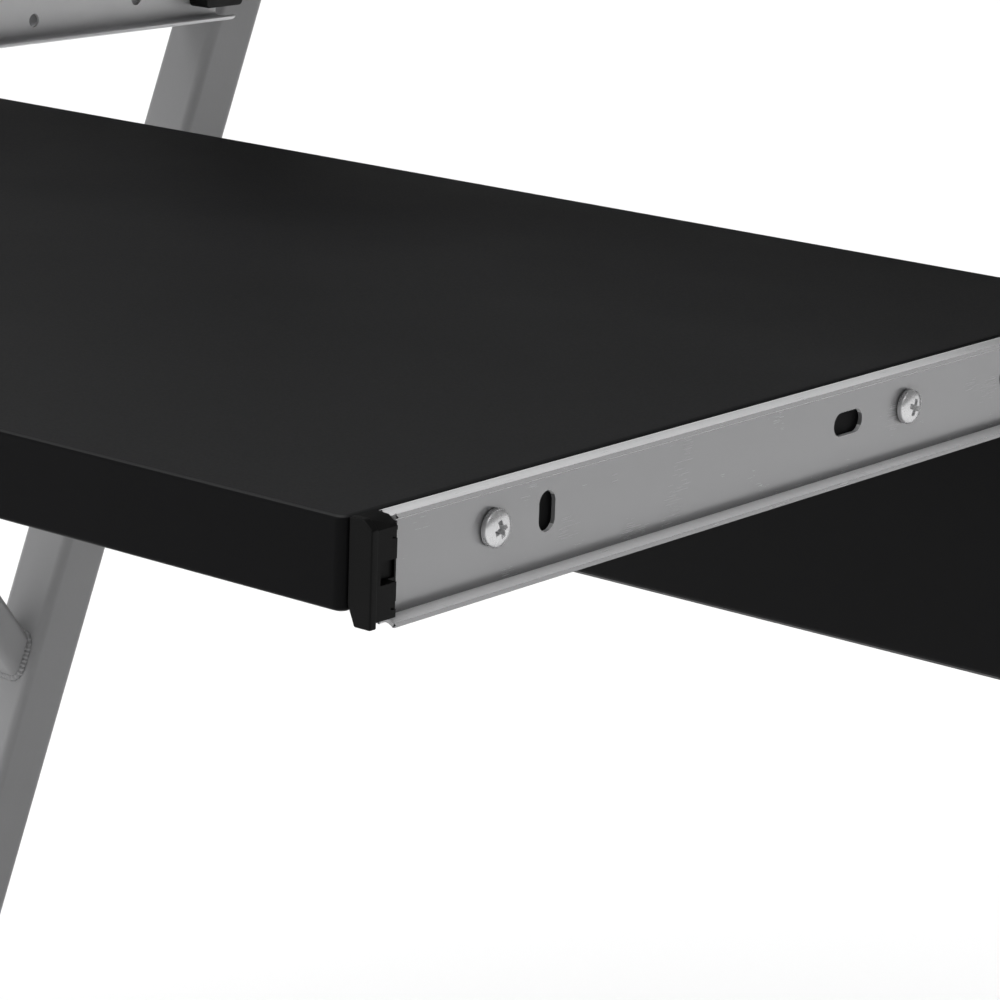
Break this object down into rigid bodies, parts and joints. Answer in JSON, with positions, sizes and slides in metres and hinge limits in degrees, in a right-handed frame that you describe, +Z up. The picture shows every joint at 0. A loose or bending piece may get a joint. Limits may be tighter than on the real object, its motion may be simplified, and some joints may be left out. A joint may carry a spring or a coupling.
{
  "type": "computer desk",
  "caption": "Compact computer desk with a black top, slanted square-tube side frames, a modesty panel and a keyboard tray that slides out on ball-bearing slides.",
  "frame": {"origin": "on the floor, in the middle of the area that the desk and its drawn-out tray stand over", "axes": "+Z up, +Y towards the back of the desk, +X to the sitter's right; the tray pulls out towards -Y"},
  "size_m": [0.8, 0.6994, 0.75],
  "materials": {
    "desktop_board": "black melamine foil on particle board, satin, fine pore",
    "tray_board": "black melamine foil on fibre board, satin, eased front edge",
    "panel_board": "black melamine foil on particle board, matt",
    "frame_paint": "silver-grey powder coat, satin",
    "slide_steel": "bright zinc-plated cold-rolled sheet steel",
    "cage_steel": "zinc-plated strip with bearing balls",
    "fastener_steel": "zinc-plated screws, cross recess",
    "black_plastic": "moulded black polypropylene, fine spark texture"
  },
  "bodies": {
    "desk": {"desktop": "desktop_board", "left_back_desktop_screw": "fastener_steel", "left_back_glide": "black_plastic", "left_back_slide_screw": "fastener_steel", "left_brace": "frame_paint", "left_foot_rail": "frame_paint", "left_foot_rail_back_cap": "black_plastic", "left_foot_rail_front_cap": "black_plastic", "left_front_desktop_screw": "fastener_steel", "left_front_glide": "black_plastic", "left_front_slide_screw": "fastener_steel", "left_leg": "frame_paint", "left_lower_panel_bolt": "fastener_steel", "left_outer_slide": "slide_steel", "left_slide_bumper": "black_plastic", "left_slide_rail": "frame_paint", "left_top_rail": "frame_paint", "left_top_rail_back_cap": "black_plastic", "left_top_rail_front_cap": "black_plastic", "left_upper_panel_bolt": "fastener_steel", "modesty_panel": "panel_board", "right_back_desktop_screw": "fastener_steel", "right_back_glide": "black_plastic", "right_back_slide_screw": "fastener_steel", "right_brace": "frame_paint", "right_foot_rail": "frame_paint", "right_foot_rail_back_cap": "black_plastic", "right_foot_rail_front_cap": "black_plastic", "right_front_desktop_screw": "fastener_steel", "right_front_glide": "black_plastic", "right_front_slide_screw": "fastener_steel", "right_leg": "frame_paint", "right_lower_panel_bolt": "fastener_steel", "right_outer_slide": "slide_steel", "right_slide_bumper": "black_plastic", "right_slide_rail": "frame_paint", "right_top_rail": "frame_paint", "right_top_rail_back_cap": "black_plastic", "right_top_rail_front_cap": "black_plastic", "right_upper_panel_bolt": "fastener_steel"},
    "tray": {"left_inner_slide": "slide_steel", "left_slide_front_cap": "black_plastic", "left_tray_screw_1": "fastener_steel", "left_tray_screw_2": "fastener_steel", "left_tray_screw_3": "fastener_steel", "right_inner_slide": "slide_steel", "right_slide_front_cap": "black_plastic", "right_tray_screw_1": "fastener_steel", "right_tray_screw_2": "fastener_steel", "right_tray_screw_3": "fastener_steel", "tray_board": "tray_board"},
    "right_cage": {"right_ball_cage": "cage_steel"},
    "left_cage": {"left_ball_cage": "cage_steel"}
  },
  "joints": [
    {"name": "tray_slide", "type": "slide", "parent": "desk", "child": "tray", "axis": [0, 1, 0], "range_m": [0, 0.24]},
    {"name": "right_cage_slide", "type": "slide", "parent": "desk", "child": "right_cage", "axis": [0, 1, 0], "range_m": [0, 0.12]},
    {"name": "left_cage_slide", "type": "slide", "parent": "desk", "child": "left_cage", "axis": [0, 1, 0], "range_m": [0, 0.12]}
  ],
  "couplings": [
    {"joint": "right_cage_slide", "follows": "tray_slide", "ratio": 0.5},
    {"joint": "left_cage_slide", "follows": "tray_slide", "ratio": 0.5}
  ]
}
